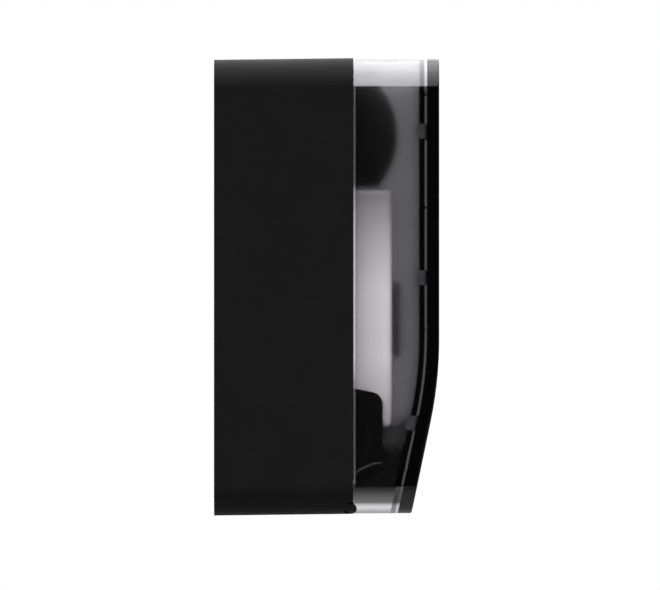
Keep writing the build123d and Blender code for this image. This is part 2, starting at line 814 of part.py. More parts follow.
gasket = rod_z(0, pump_y, neck_radius - press_clearance, (gasket_bottom, neck_end))
gasket -= rod_z(0, pump_y, cylinder_radius + press_clearance, (gasket_bottom, neck_end))
nodes["cap_gasket"] = gasket

# Pump: cylinder, piston, seal, spring, valve, nozzle and foam screen
piston_lift = 17.0
piston_thickness = 6.0
seal_groove = 2.0
seal_depth = 2.0
stem_radius = 4.0
stem_bore = 2.0
spring_radius = 6.3
spring_wire = 0.6
spring_turns = 7
valve_radius = 4.5
valve_thickness = 1.0
valve_stem = 1.2
valve_head = 2.2
port_radius = 0.8
port_circle = 2.9
port_count = 4
screen_radius = 3.2
screen_recess = 0.5
screen_thickness = 1.0
chamber_top = cylinder_top - cylinder_end
cylinder = rod_z(0, pump_y, cylinder_radius, (cap_bottom, cylinder_top))
cylinder += rod_z(0, pump_y, neck_radius - press_clearance, (cylinder_flange_bottom, gasket_bottom))
cylinder -= rod_z(0, pump_y, cylinder_bore, (cap_bottom, chamber_top))
cylinder -= rod_z(0, pump_y, valve_stem + press_clearance, (chamber_top, cylinder_top))
for place in PolarLocations(port_circle, port_count):
    cylinder -= Pos(0, pump_y, cylinder_top) * place * Cylinder(port_radius, 4 * cylinder_end)
nodes["pump_cylinder"] = cylinder
piston_bottom = cap_bottom + piston_lift
piston_top = piston_bottom + piston_thickness
piston_radius = cylinder_bore - running_clearance
seal_z = (piston_bottom + seal_groove, piston_top - seal_groove)
seal = rod_z(0, pump_y, piston_radius, seal_z) - rod_z(0, pump_y, piston_radius - seal_depth, seal_z)
nodes["piston_seal"] = seal
piston = rod_z(0, pump_y, piston_radius, (piston_bottom, piston_top)) - seal
piston += rod_z(0, pump_y, stem_radius, (flange_bottom, piston_bottom))
piston -= rod_z(0, pump_y, stem_bore, (flange_bottom, piston_top))
nodes["pump_piston"] = piston
nodes["return_spring"] = coil(0, pump_y, spring_radius, spring_wire, (piston_top, chamber_top), spring_turns)
valve = rod_z(0, pump_y, valve_radius, (chamber_top - valve_thickness, chamber_top))
valve += rod_z(0, pump_y, valve_stem, (chamber_top, cylinder_top))
valve += rod_z(0, pump_y, valve_head, (cylinder_top, cylinder_top + valve_thickness))
nodes["inlet_valve"] = valve
nozzle = rod_z(0, pump_y, nozzle_tip_radius, (nozzle_bottom, neck_bottom))
nozzle += rod_z(0, pump_y, nozzle_neck_radius, (neck_bottom, flange_bottom))
nozzle += rod_z(0, pump_y, nozzle_flange_radius, (flange_bottom, flange_top))
nozzle -= rod_z(0, pump_y, stem_radius + press_clearance, (flange_bottom, flange_top))
nozzle -= rod_z(0, pump_y, stem_bore, (nozzle_bottom, flange_bottom))
screen_z = (nozzle_bottom + screen_recess, nozzle_bottom + screen_recess + screen_thickness)
nozzle -= rod_z(0, pump_y, screen_radius + press_clearance, (nozzle_bottom, screen_z[1]))
nodes["nozzle"] = nozzle
nodes["foam_screen"] = rod_z(0, pump_y, screen_radius, screen_z)
# Pump chassis
chassis = block((-cheek_outer, cheek_outer), (boss_front, foot_front), (floor_bottom, cheek_top))
inner_x = (-cheek_inner, cheek_inner)
chassis += block(inner_x, (foot_front, floor_front), (floor_bottom, floor_top))
shelf = block(inner_x, (foot_front, cheek_front), (shelf_bottom, bottle_bottom))
slot_radius = cap_radius + shelf_slot_gap
shelf -= rod_z(0, pump_y, slot_radius, (shelf_bottom, bottle_bottom))
shelf -= block((-slot_radius, slot_radius), (pump_y, face), (shelf_bottom, bottle_bottom))
shelf -= rod_z(lead_x, lead_y, lead_radius + easy_clearance, (shelf_bottom, bottle_bottom))
chassis += shelf
arch_rear = parting + cheek_arch_rear
arch_start = (arch_rear, floor_bottom + cheek_arch_foot)
arch_crown = ((arch_rear + cheek_front) / 2, floor_bottom + cheek_arch_crown)
arch_tip = (cheek_front, floor_bottom + cheek_arch_tip)
shoulder = (parting + cheek_shoulder, cheek_top)
cheek_line = Polyline(arch_tip, (cheek_front, cheek_top - cheek_top_fall), shoulder, (boss_front, cheek_top))
cheek_foot = (boss_front, floor_bottom)
cheek_line += Polyline((boss_front, cheek_top), cheek_foot, (arch_rear, floor_bottom), arch_start)
cheek_line += ThreePointArc(arch_start, arch_crown, arch_tip)
cheek_face = make_face(cheek_line)
cheek_corner = cheek_face.vertices().sort_by(Axis.X)[:2].sort_by(Axis.Y)[-1]
cheek_face = fillet(cheek_corner, cheek_round)
for side in sides:
    cheek_start = cheek_inner if side > 0 else -cheek_outer
    chassis += extrude(Plane.YZ.offset(cheek_start) * cheek_face, amount=cheek_thickness)
chassis = chassis & case_form(case_wall + easy_clearance, 0, face)
for x, z in chassis_screw_places:
    chassis -= back_screw_hole(x, z)
for x, z in board_screw_places:
    chassis += rod_y(x, z, board_post_radius, (foot_front, board_rear))
    chassis -= rod_y(x, z, board_screw_radius + press_clearance, (foot_front, board_rear))
for side in sides:
    guide_z = (floor_top - guide_socket, shelf_bottom)
    chassis -= rod_z(side * guide_offset_x, guide_y, guide_radius + press_clearance, guide_z)
nodes["guide_posts"] = [rod_z(side * guide_offset_x, guide_y, guide_radius, guide_z) for side in sides]
nodes["chassis_screws"] = [back_screw(x, z) for x, z in chassis_screw_places]

# Lift yoke with its rack
yoke_top = flange_bottom
yoke_z = (yoke_top - yoke_thickness, yoke_top)
wheel_tip = first_module * (wheel_teeth / 2 + tooth_addendum)
yoke_rear = output_y - wheel_tip - yoke_rear_clearance
yoke_x = (-yoke_half_width, yoke_half_width)
yoke = block(yoke_x, (pump_y - yoke_front_reach, yoke_rear), yoke_z)
slot_half = nozzle_neck_radius + yoke_slot_gap
yoke -= rod_z(0, pump_y, slot_half, yoke_z)
yoke -= block((-slot_half, slot_half), (pump_y, face), yoke_z)
yoke_middle = (yoke_z[0] + yoke_z[1]) / 2
for side in sides:
    boss_z = (yoke_middle - yoke_boss_half, yoke_middle + yoke_boss_half)
    yoke += rod_z(side * guide_offset_x, guide_y, yoke_boss_radius, boss_z)
    yoke -= rod_z(side * guide_offset_x, guide_y, guide_radius + running_clearance, boss_z)
rack_x = (-rack_half_width, rack_half_width)
rack_bottom = floor_top + rack_lowest
rack_root = rack_line - tooth_dedendum * rack_module
yoke += block(rack_x, (rack_line - rack_back, rack_root), (rack_bottom, rack_bottom + rack_length))
yoke += block(rack_x, (yoke_rear - rack_back, rack_root), yoke_z)
tooth_pitch = pi * rack_module
tooth_half = (pi / 2 - tooth_backlash) * rack_module / 2
tooth_tip_half = tooth_half - tooth_addendum * rack_module * tan(pressure_angle)
tooth_root_half = tooth_half + tooth_dedendum * rack_module * tan(pressure_angle)
rack_tip = rack_line + tooth_addendum * rack_module
teeth_below = int((output_z - rack_bottom - tooth_root_half) / tooth_pitch)
teeth_above = int((rack_bottom + rack_length - output_z - tooth_root_half) / tooth_pitch)
for number in range(-teeth_below, teeth_above + 1):
    middle = output_z + number * tooth_pitch
    tooth = Polyline(
        (rack_root, middle - tooth_root_half),
        (rack_tip, middle - tooth_tip_half),
        (rack_tip, middle + tooth_tip_half),
        (rack_root, middle + tooth_root_half),
        close=True,
    )
    yoke += extrude(Plane.YZ * make_face(tooth), amount=rack_half_width, both=True)
nodes["lift_yoke"] = yoke

# Gear train, from the rack to the motor
half_tooth = pi / pinion_teeth
pinion = gear(rack_module, pinion_teeth, (-pinion_half, pinion_half), output_y, output_z, pi + half_tooth)
shaft_hole = output_shaft_radius + press_clearance
pinion -= rod_x(output_y, output_z, shaft_hole, (-pinion_half, pinion_half))
nodes["drive_pinion"] = pinion
wheel = gear(first_module, wheel_teeth, first_wheel_ends, output_y, output_z, first_angle)
wheel -= rod_x(output_y, output_z, shaft_hole, first_wheel_ends)
nodes["output_gear"] = wheel
shaft_ends = (left_plate_ends[0], right_plate_ends[1])
nodes["output_shaft"] = rod_x(output_y, output_z, output_shaft_radius, shaft_ends)
first_pinion_ends = (first_pinion_start, second_wheel_ends[0])
small_half = pi / small_teeth
idler = gear(first_module, small_teeth, first_pinion_ends, idler_y, idler_z, first_angle + pi + small_half)
idler += gear(second_module, wheel_teeth, second_wheel_ends, idler_y, idler_z, second_angle)
idler_ends = (first_pinion_start, second_wheel_ends[1])
idler -= rod_x(idler_y, idler_z, idler_shaft_radius + running_clearance, idler_ends)
nodes["idler_gear"] = idler
nodes["idler_shaft"] = rod_x(idler_y, idler_z, idler_shaft_radius, shaft_ends)
small = gear(second_module, small_teeth, motor_pinion_ends, motor_y, motor_z, second_angle + pi + small_half)
small -= rod_x(motor_y, motor_z, motor_shaft_radius + press_clearance, motor_pinion_ends)
nodes["motor_pinion"] = small
motor_shaft_ends = (motor_pinion_ends[0], motor_ends[0] + motor_shaft_bite)
nodes["motor_shaft"] = rod_x(motor_y, motor_z, motor_shaft_radius, motor_shaft_ends)

# Gear plates, pillars and motor
plate_z = (floor_top, floor_top + plate_height)
pillar_places = [(output_y + y, output_z + z) for y, z in pillar_offsets]
plate_screws = []
motor_screw_places = [(motor_y, motor_z + side * motor_screw_offset) for side in sides]
gear_plates = (("gear_plate_left", left_plate_ends, -1), ("gear_plate_right", right_plate_ends, 1))
for name, ends, side in gear_plates:
    side_plate = block(ends, plate_y, plate_z)
    outer = ends[1] if side > 0 else ends[0]
    foot_x = (outer, outer + side * plate_foot)
    side_plate += block(foot_x, plate_y, (floor_top, floor_top + foot_thickness))
    side_plate -= rod_x(output_y, output_z, output_shaft_radius + running_clearance, ends)
    side_plate -= rod_x(idler_y, idler_z, idler_shaft_radius + press_clearance, ends)
    if side > 0:
        side_plate -= rod_x(motor_y, motor_z, motor_shaft_radius + easy_clearance, ends)
        for y, z in motor_screw_places:
            side_plate -= rod_x(y, z, motor_screw_radius + press_clearance, ends)
    for y in (plate_y[0] + plate_foot_inset, plate_y[1] - plate_foot_inset):
        x = outer + side * plate_foot / 2
        shank_z = (floor_bottom, floor_top + foot_thickness)
        side_plate -= rod_z(x, y, screw_radius + press_clearance, shank_z)
        chassis -= rod_z(x, y, screw_radius + press_clearance, shank_z)
        head_z = (shank_z[1], shank_z[1] + screw_head_height)
        plate_screws.append(rod_z(x, y, screw_radius, shank_z) + rod_z(x, y, screw_head_radius, head_z))
    nodes[name] = side_plate
nodes["plate_screws"] = plate_screws
nodes["pump_chassis"] = chassis
pillar_ends = (left_plate_ends[1], right_plate_ends[0])
nodes["plate_pillars"] = [rod_x(y, z, pillar_radius, pillar_ends) for y, z in pillar_places]
motor = rod_x(motor_y, motor_z, motor_radius, motor_ends)
motor += rod_x(motor_y, motor_z, motor_tail_radius, (motor_ends[1], motor_ends[1] + motor_tail))
shaft_room = (motor_ends[0], motor_shaft_ends[1])
motor -= rod_x(motor_y, motor_z, motor_shaft_radius + running_clearance, shaft_room)
motor_screws = []
for y, z in motor_screw_places:
    screw_ends = (right_plate_ends[0], motor_ends[0] + motor_screw_bite)
    motor -= rod_x(y, z, motor_screw_radius + press_clearance, screw_ends)
    head_ends = (right_plate_ends[0] - motor_screw_radius, right_plate_ends[0])
    motor_screw = rod_x(y, z, motor_screw_radius, screw_ends)
    motor_screws.append(motor_screw + rod_x(y, z, motor_screw_head, head_ends))
nodes["motor"] = motor
nodes["motor_screws"] = motor_screws

# Control board, sensor and leads
board = block(board_x, (board_rear, board_front), board_z)
board_screws = []
for x, z in board_screw_places:
    board -= rod_y(x, z, board_screw_radius + press_clearance, (board_rear, board_front))
    shank = rod_y(x, z, board_screw_radius, (board_front, foot_front))
    head_ends = (board_front - board_screw_radius, board_front)
    board_screws.append(shank + rod_y(x, z, board_screw_head, head_ends))
nodes["control_board"] = board
nodes["board_screws"] = board_screws
connector_y = (board_front, board_front - connector_depth)
connector_half = connector_size / 2
chip_x = (board_x[0] + board_width / 2 - chip_size, board_x[0] + board_width / 2)
chip_z = (motor_z - chip_size / 2, motor_z + chip_size / 2)
capacitor_x = board_x[0] + board_width / 4 + board_screw_inset / 2
capacitor_z = board_z[1] - board_screw_inset - capacitor_radius / 4
battery_socket_x = (lead_x - connector_half, lead_x + connector_half)
motor_socket_z = (motor_z - connector_half, motor_z + connector_half)
nodes["board_parts"] = [
    block(battery_socket_x, connector_y, (board_z[1] - connector_size, board_z[1])),
    block((board_inner - connector_size, board_inner), connector_y, motor_socket_z),
    block(chip_x, (board_front, board_front - chip_depth), chip_z),
    rod_y(capacitor_x, capacitor_z, capacitor_radius, (board_front, board_front - capacitor_length)),
]


def lead(points):
    """A round lead along straight runs joined by tangent arcs."""
    line = FilletPolyline(*points, radius=lead_bend)
    section = Plane(origin=line @ 0, z_dir=line % 0) * Circle(lead_radius)
    return sweep(section, path=line)


lead_exit_z = box_bottom + lead_exit_lift
nodes["battery_lead"] = lead(
    [(lead_x, box_rear, lead_exit_z), (lead_x, lead_y, lead_exit_z), (lead_x, lead_y, board_z[1])]
)
motor_end = motor_ends[1] + motor_tail
nodes["motor_lead"] = lead(
    [
        (motor_end, motor_y, motor_z),
        (motor_end + lead_turn, motor_y, motor_z),
        (motor_end + lead_turn, lead_y, motor_z),
        (board_inner, lead_y, motor_z),
    ]
)
clips = []
for z in clip_heights:
    clip_z = (z - clip_half, z + clip_half)
    clip_y = (-case_wall, lead_y - lead_radius - clip_wall)
    clip = block((lead_x - clip_half, lead_x + clip_half), clip_y, clip_z)
    clips.append(clip - rod_z(lead_x, lead_y, lead_radius + slide_clearance, clip_z))
nodes["lead_clips"] = clips
sensor_y_span = (sensor_y - sensor_half_depth, sensor_y + sensor_half_depth)
sensor_x_span = (-sensor_half_width, sensor_half_width)
nodes["sensor_board"] = block(sensor_x_span, sensor_y_span, (sensor_board_bottom, floor_bottom))
led_z = (sensor_board_bottom - sensor_led_length + sensor_led_radius, sensor_board_bottom)
nodes["sensor_leds"] = [
    rod_z(side * sensor_led_offset, sensor_y, sensor_led_radius, led_z)
    + Pos(side * sensor_led_offset, sensor_y, led_z[0]) * Sphere(sensor_led_radius)
    for side in sides
]

os.makedirs("parts", exist_ok=True)
for name, piece in nodes.items():
    pieces = piece if isinstance(piece, list) else [piece]
    solids = [solid for each in pieces for solid in each.solids()]
    export_step(Compound(children=solids) if len(solids) > 1 else solids[0], f"parts/{name}.step")
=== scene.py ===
import json
import math

import bmesh
import bpy
from mathutils import Matrix, Vector


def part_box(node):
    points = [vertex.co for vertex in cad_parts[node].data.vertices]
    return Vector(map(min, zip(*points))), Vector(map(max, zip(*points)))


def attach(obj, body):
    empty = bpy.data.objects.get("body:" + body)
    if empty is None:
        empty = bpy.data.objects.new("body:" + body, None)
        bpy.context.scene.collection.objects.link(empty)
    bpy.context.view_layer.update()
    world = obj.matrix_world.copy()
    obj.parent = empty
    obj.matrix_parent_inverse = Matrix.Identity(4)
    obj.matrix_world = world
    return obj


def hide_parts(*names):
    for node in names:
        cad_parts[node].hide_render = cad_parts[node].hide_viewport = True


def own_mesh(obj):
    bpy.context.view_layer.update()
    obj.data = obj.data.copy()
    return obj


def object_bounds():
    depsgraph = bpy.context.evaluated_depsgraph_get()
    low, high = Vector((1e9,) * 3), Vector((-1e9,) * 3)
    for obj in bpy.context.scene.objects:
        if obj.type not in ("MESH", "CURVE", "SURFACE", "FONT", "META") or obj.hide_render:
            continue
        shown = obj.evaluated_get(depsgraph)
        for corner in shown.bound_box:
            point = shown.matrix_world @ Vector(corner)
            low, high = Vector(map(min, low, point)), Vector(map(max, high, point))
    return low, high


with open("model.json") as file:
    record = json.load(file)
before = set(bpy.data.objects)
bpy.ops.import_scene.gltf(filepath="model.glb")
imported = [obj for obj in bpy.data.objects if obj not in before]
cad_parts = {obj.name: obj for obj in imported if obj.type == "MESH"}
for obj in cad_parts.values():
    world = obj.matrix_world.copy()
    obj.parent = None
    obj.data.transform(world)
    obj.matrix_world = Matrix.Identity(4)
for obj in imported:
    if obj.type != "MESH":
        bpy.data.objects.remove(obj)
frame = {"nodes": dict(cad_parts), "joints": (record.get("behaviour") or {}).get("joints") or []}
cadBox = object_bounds()
nodes = frame["nodes"]
scene = bpy.context.scene
scene.view_settings.view_transform = "Standard"
print("frame loaded:", len(nodes), "pieces")

noiseMiddle = 0.5
softNoise = {"Detail": 2.0, "Roughness": 0.5}
grainNoise = {"Detail": 3.0, "Roughness": 0.6}
hazeNoise = {"Detail": 4.0, "Roughness": 0.6}
waveNoise = {"Detail": 1.0, "Roughness": 0.5}
scratchNoise = {"Detail": 4.0, "Roughness": 0.7}


class Value:
    # a shader socket that takes part in plain arithmetic
    def __init__(self, finish, socket):
        self.finish = finish
        self.socket = socket

    def maths(self, operation, first, second):
        return self.finish.add("ShaderNodeMath", {"operation": operation}, {0: first, 1: second})

    def __add__(self, other):
        return self.maths("ADD", self, other)

    def __radd__(self, other):
        return self.maths("ADD", other, self)

    def __sub__(self, other):
        return self.maths("SUBTRACT", self, other)

    def __rsub__(self, other):
        return self.maths("SUBTRACT", other, self)

    def __mul__(self, other):
        return self.maths("MULTIPLY", self, other)

    def __rmul__(self, other):
        return self.maths("MULTIPLY", other, self)

    def __pow__(self, other):
        return self.maths("POWER", self, other)

    def __rpow__(self, other):
        return self.maths("POWER", other, self)

    def size(self):
        return self.maths("ABSOLUTE", self, 0.0)

    def atLeast(self, other):
        return self.maths("MAXIMUM", self, other)

    def atMost(self, other):
        return self.maths("MINIMUM", self, other)


class Finish:
    # one node tree, of a material or of the world
    def __init__(self, owner):
        owner.use_nodes = True
        self.owner = owner
        self.tree = owner.node_tree
        self.tree.nodes.clear()

    def add(self, kind, settings, sockets, output=0):
        node = self.tree.nodes.new(kind)
        for key, value in settings.items():
            setattr(node, key, value)
        for key, value in sockets.items():
            if isinstance(value, Value):
                self.tree.links.new(value.socket, node.inputs[key])
            else:
                node.inputs[key].default_value = value
        return Value(self, node.outputs[output]) if node.outputs else None

    def other(self, value, output):
        return Value(self, value.socket.node.outputs[output])

    def place(self):
        return self.add("ShaderNodeTexCoord", {}, {}, "Object")

    def axis(self, name):
        return self.add("ShaderNodeSeparateXYZ", {}, {"Vector": self.place()}, name)

    def noise(self, size, style):
        sockets = {"Vector": self.place(), "Scale": 1.0 / size, **style}
        return self.add("ShaderNodeTexNoise", {}, sockets, "Fac")

    def drift(self, noise, amount):
        return (noise - noiseMiddle) * amount

    def cellEdges(self, size):
        sockets = {"Vector": self.place(), "Scale": 1.0 / size}
        return self.add("ShaderNodeTexVoronoi", {"feature": "DISTANCE_TO_EDGE"}, sockets, "Distance")

    def blend(self, amount, first, second):
        sockets = {0: amount, 6: first, 7: second}  # 6 and 7 are the colours
        return self.add("ShaderNodeMix", {"data_type": "RGBA"}, sockets, 2)

    def mottle(self, noise, colour, dark, light):
        return self.blend(noise, shade(colour, dark), shade(colour, light))

    def layer(self, tone, layers):
        # lays each colour over the ones before it, where its zone is
        for zone, colour in layers:
            tone = self.blend(zone, tone, shade(colour))
        return tone

    def span(self, value, low, high, start=0.0, end=1.0):
        sockets = {0: value, 1: low, 2: high, 3: start, 4: end}
        return self.add("ShaderNodeMapRange", {}, sockets)

    def bump(self, height, depth):
        sockets = {"Height": height, "Strength": 1.0, "Distance": depth}
        return self.add("ShaderNodeBump", {}, sockets)

    def surface(self, sockets):
        return self.add("ShaderNodeBsdfPrincipled", {}, sockets)

    def mix(self, share, first, second):
        return self.add("ShaderNodeMixShader", {}, {0: share, 1: first, 2: second})

    def close(self, shader):
        isWorld = isinstance(self.owner, bpy.types.World)
        kind = "ShaderNodeOutputWorld" if isWorld else "ShaderNodeOutputMaterial"
        self.add(kind, {}, {"Surface": shader})
        return self.owner


def shade(colour, amount=1.0):
    return tuple(min(1.0, part * amount) for part in colour) + (1.0,)


def newFinish(name):
    return Finish(bpy.data.materials.new(name))


def wear(names, material):
    for name in names:
        piece = nodes[name]
        piece.data.materials.clear()
        piece.data.materials.append(material)


caseBlack = {"colour": (0.0042, 0.0042, 0.0048), "rough": 0.52, "roughDrift": 0.12, "grain": 0.0007,
             "grainDepth": 0.00004, "flow": 0.03, "drift": 0.12, "shine": 0.12}
frameBlack = {"colour": (0.0012, 0.0012, 0.0012), "rough": 0.2, "roughDrift": 0.06, "grain": 0.0009,
              "grainDepth": 0.000008, "flow": 0.02, "drift": 0.15, "shine": 0.08}
# the guard's paler top band is painted light
guardGrey = {"colour": (0.003, 0.003, 0.003), "rough": 0.4, "roughDrift": 0.1, "grain": 0.0008,
             "grainDepth": 0.00001, "flow": 0.02, "drift": 0.12, "shine": 0.1,
             "litBand": (-0.104, -0.0985), "litBandColour": (0.036, 0.036, 0.037)}
innerBlack = {"colour": (0.0012, 0.0012, 0.0012), "rough": 0.32, "roughDrift": 0.08, "grain": 0.0008,
              "grainDepth": 0.00001, "flow": 0.02, "drift": 0.15, "shine": 0.06}
gripGrey = {"colour": (0.105, 0.105, 0.105), "rough": 0.4, "roughDrift": 0.08, "grain": 0.0008,
            "grainDepth": 0.00001, "flow": 0.02, "drift": 0.15, "shine": 0.15}
acetalWhite = {"colour": (0.8, 0.8, 0.77), "rough": 0.38, "roughDrift": 0.08, "grain": 0.0012,
               "grainDepth": 0.00001, "flow": 0.01, "drift": 0.04, "shine": 0.5}
rubberDark = {"colour": (0.018, 0.018, 0.018), "rough": 0.7, "roughDrift": 0.1, "grain": 0.0006,
              "grainDepth": 0.00003, "flow": 0.01, "drift": 0.2, "shine": 0.3}
partsBlack = {"colour": (0.02, 0.02, 0.02), "rough": 0.5, "roughDrift": 0.1, "grain": 0.0005,
              "grainDepth": 0.00002, "flow": 0.004, "drift": 0.2, "shine": 0.4}


def mouldedPlastic(name, look):
    # a moulded face: grain from the mould, faint flow marks, and, on a piece that has one, a paler band
    # painted at its top as light falling there
    finish = newFinish(name)
    grain = finish.noise(look["grain"], grainNoise)
    flow = finish.noise(look["flow"], softNoise)
    tone = finish.mottle(flow, look["colour"], 1 - look["drift"], 1 + look["drift"])
    # painted light: the top band is paler as if lit from above, and the rest stays dark as in shade
    if "litBand" in look:
        tone = finish.layer(tone, [(finish.span(finish.axis("Z"), *look["litBand"]), look["litBandColour"])])
    rough = look["rough"] + finish.drift(flow, look["roughDrift"]) + finish.drift(grain, look["roughDrift"])
    return finish.close(finish.surface({"Base Color": tone, "Roughness": rough,
                                        "Normal": finish.bump(grain, look["grainDepth"]),
                                        "Specular IOR Level": look["shine"]}))


wear(["rear_case", "lead_clips"], mouldedPlastic("grainedCase", caseBlack))
wear(["inner_frame"], mouldedPlastic("satinFrame", frameBlack))
wear(["drip_guard"], mouldedPlastic("satinGuard", guardGrey))
wear(["pump_chassis", "battery_box", "battery_lid", "cover_catch", "gear_plate_left",
      "gear_plate_right"], mouldedPlastic("innerMoulding", innerBlack))
wear(["cartridge_grip"], mouldedPlastic("gripMoulding", gripGrey))
wear(["cartridge_cap", "pump_cylinder", "pump_piston", "nozzle", "lift_yoke", "drive_pinion",
      "output_gear", "idler_gear"], mouldedPlastic("acetal", acetalWhite))
wear(["cap_gasket", "piston_seal", "inlet_valve", "battery_lead", "motor_lead"],
     mouldedPlastic("rubber", rubberDark))
wear(["board_parts"], mouldedPlastic("boardParts", partsBlack))
print("moulded plastics done")


plateSeat = {"seat": -0.13543, "corner": -0.05692, "lean": math.radians(12.2), "radius": 0.24735}
plateLugs = {"colour": (0.034, 0.034, 0.035), "rough": 0.4, "start": (0.0003, 0.0006)}
glossBlack = {"colour": (0.0008, 0.0008, 0.0008), "dark": 0.7, "light": 1.3, "rough": 0.03, "haze": 0.02,
              "hazeSize": 0.02, "hazePower": 3.0, "shine": 0.72, "wave": 0.05, "waveDepth": 0.00002}
lensDark = {"colour": (0.02, 0.006, 0.008), "dark": 0.7, "light": 1.3, "rough": 0.06, "haze": 0.03,
            "hazeSize": 0.006, "hazePower": 3.0, "shine": 0.5, "wave": 0.02, "waveDepth": 0.00001}


def depthBehindSeat(finish, plate):
    # how far a point lies behind the faceplate's seat: upright, then a bend, then leaning back
    bendTop = plate["corner"] + plate["radius"] * math.tan(plate["lean"] / 2)
    bendDrop = plate["radius"] * math.sin(plate["lean"])
    drop = bendTop - finish.axis("Z")
    inBend = drop.atLeast(0.0).atMost(bendDrop)
    bent = plate["radius"] - (plate["radius"] ** 2 - inBend * inBend) ** 0.5
    leant = (drop - bendDrop).atLeast(0.0) * math.tan(plate["lean"])
    return finish.axis("Y") - plate["seat"] - bent - leant


def polishedBlack(name, look, lugs=None):
    finish = newFinish(name)
    haze = finish.noise(look["hazeSize"], hazeNoise)
    wave = finish.noise(look["wave"], waveNoise)
    tone = finish.mottle(haze, look["colour"], look["dark"], look["light"])
    rough = look["rough"] + haze ** look["hazePower"] * look["haze"]
    if lugs:  # the lugs behind the plate's seat keep the mould's matt grey
        lug = finish.span(depthBehindSeat(finish, plateSeat), *lugs["start"])
        tone = finish.layer(tone, [(lug, lugs["colour"])])
        rough = rough + lug * (lugs["rough"] - rough)
    return finish.close(finish.surface({"Base Color": tone, "Roughness": rough,
                                        "Normal": finish.bump(wave, look["waveDepth"]),
                                        "Specular IOR Level": look["shine"]}))


wear(["faceplate"], polishedBlack("glossFront", glossBlack, plateLugs))
wear(["sensor_window", "sensor_leds"], polishedBlack("darkLens", lensDark))


# lengths in metres; a pair is where a zone starts and where it is full
smokedShell = {
    "tint": (0.9, 0.89, 0.91), "tintDrift": 0.03, "flow": 0.03, "ior": 1.5, "glare": (0.03, 0.03, 0.03),
    "lampTint": (0.94, 0.935, 0.94), "polished": 0.05, "etched": 0.28, "etchedHead": 0.3,
    "etchedFront": 0.15, "roughDrift": 0.006, "headDepth": (-0.094, -0.106), "headHeight": (0.02, 0.085),
    "frontZone": (0.0063, 0.0052),
    "halfWidth": 0.0716, "halfHeight": 0.1446, "rise": 0.00108, "corner": 0.0175, "midWall": -0.0011,
    "softEdge": 0.0004,
    # painted light: the matt white share stands in for the light from above and below that the frosted
    # crown and foot catch
    "frostAndLight": (0.93, 0.93, 0.945), "frostAndLightRough": 0.4,
    # painted shade: the crown's white greys towards its very top, and a grey line is painted along the top
    # edge
    "crown": 0.128, "crownFrostAndLight": 0.4, "crownTop": (0.56, 0.56, 0.571), "crownFade": (0.1392, 0.1446),
    "edge": (0.1449, 0.1453), "edgeFrostAndLight": 0.7, "edgeGrey": (0.45, 0.45, 0.46),
    # painted shade: a dark band across the foot's top, lighter downwards
    "shadeBand": (0.012, 0.012, 0.012), "shadeBandPale": (0.21, 0.21, 0.21), "shadeBandFade": (-0.128, -0.137),
    "foot": (-0.1263, -0.1272), "footFrostAndLight": 0.95, "footPale": (-0.1364, -0.1388),
    # painted shade: the foot's lowest end greys
    "footEnd": (-0.1402, -0.1425), "footGrey": (0.52, 0.52, 0.53), "paleEnd": (-0.1252, -0.1244),
    # painted light and shade along the cover's front wall: a pale line in the wall, a grey strip behind it,
    # and a darker tint in the glass
    "stripRear": (0.005, 0.0046), "stripFront": (0.0016, 0.002), "stripGrey": (0.3, 0.3, 0.31),
    "stripShadeBand": (0.05, 0.05, 0.05),
    "wallLine": (0.0018, 0.0014), "wallTone": (0.7, 0.7, 0.71), "wallTint": (0.6, 0.592, 0.608),
    "wallShadeBand": (0.1, 0.1, 0.1),
    # painted light: the bore walls are matt grey, standing in for the window grey around the screws
    "boreAcross": 0.0641, "boreHeights": (0.12408, 0.05208, -0.02592, -0.1152),
    "boreReach": (0.0022, 0.0018), "boreEnd": (0.0026, 0.0024), "borePaintedLight": 0.85,
    "boreGrey": (0.05, 0.05, 0.05),
    # painted light: a pale line along the rear rim, brighter over the height where the bottle lies behind
    # it
    "rimFront": -0.0897, "rimPaintedLight": 0.07, "rimGlow": 0.3, "glowTop": (0.068, 0.04),
    "glowFoot": (-0.06, -0.045)}


def outlineDepth(finish, look):
    # how far a point lies past the cover's rounded outline, seen from the front: below 0 inside it
    acrossX = finish.axis("X").size() - (look["halfWidth"] - look["corner"])
    acrossZ = (finish.axis("Z") - look["rise"]).size() - (look["halfHeight"] - look["corner"])
    reach = (acrossX.atLeast(0.0) ** 2.0 + acrossZ.atLeast(0.0) ** 2.0) ** 0.5
    return reach + acrossX.atLeast(acrossZ).atMost(0.0) - look["corner"]


def boreWalls(finish, look, height, frontDepth):
    # the walls of the screw bores through the shell's front wall
    across = finish.axis("X").size() - look["boreAcross"]
    along = (height - look["boreHeights"][0]).size()
    for boreHeight in look["boreHeights"][1:]:
        along = along.atMost((height - boreHeight).size())
    gap = (across * across + along * along) ** 0.5
    return finish.span(gap, *look["boreReach"]) * finish.span(frontDepth, *look["boreEnd"])


def shellZones(finish, look):
    # where on the shell a point lies, each zone from 0 to 1
    soft = look["softEdge"]
    height = finish.axis("Z")
    depth = finish.axis("Y")
    front = depthBehindSeat(finish, plateSeat)
    byHeight = ("crownFade", "edge", "shadeBandFade", "foot", "footPale", "footEnd", "paleEnd", "glowTop",
                "glowFoot")
    zones = {key: finish.span(height, *look[key]) for key in byHeight}
    zones["crown"] = finish.span(height, look["crown"] - soft, look["crown"] + soft)
    zones["rim"] = finish.span(depth, look["rimFront"] - soft, look["rimFront"] + soft)
    zones["head"] = finish.span(depth, *look["headDepth"]) * finish.span(height, *look["headHeight"])
    zones["front"] = finish.span(front, *look["frontZone"])
    zones["wallLine"] = finish.span(front, *look["wallLine"])
    zones["strip"] = finish.span(front, *look["stripRear"]) * finish.span(front, *look["stripFront"])
    outline = outlineDepth(finish, look)
    zones["outside"] = finish.span(outline, look["midWall"] - soft, look["midWall"] + soft)
    zones["bore"] = boreWalls(finish, look, height, front) * (1.0 - zones["outside"])
    return zones


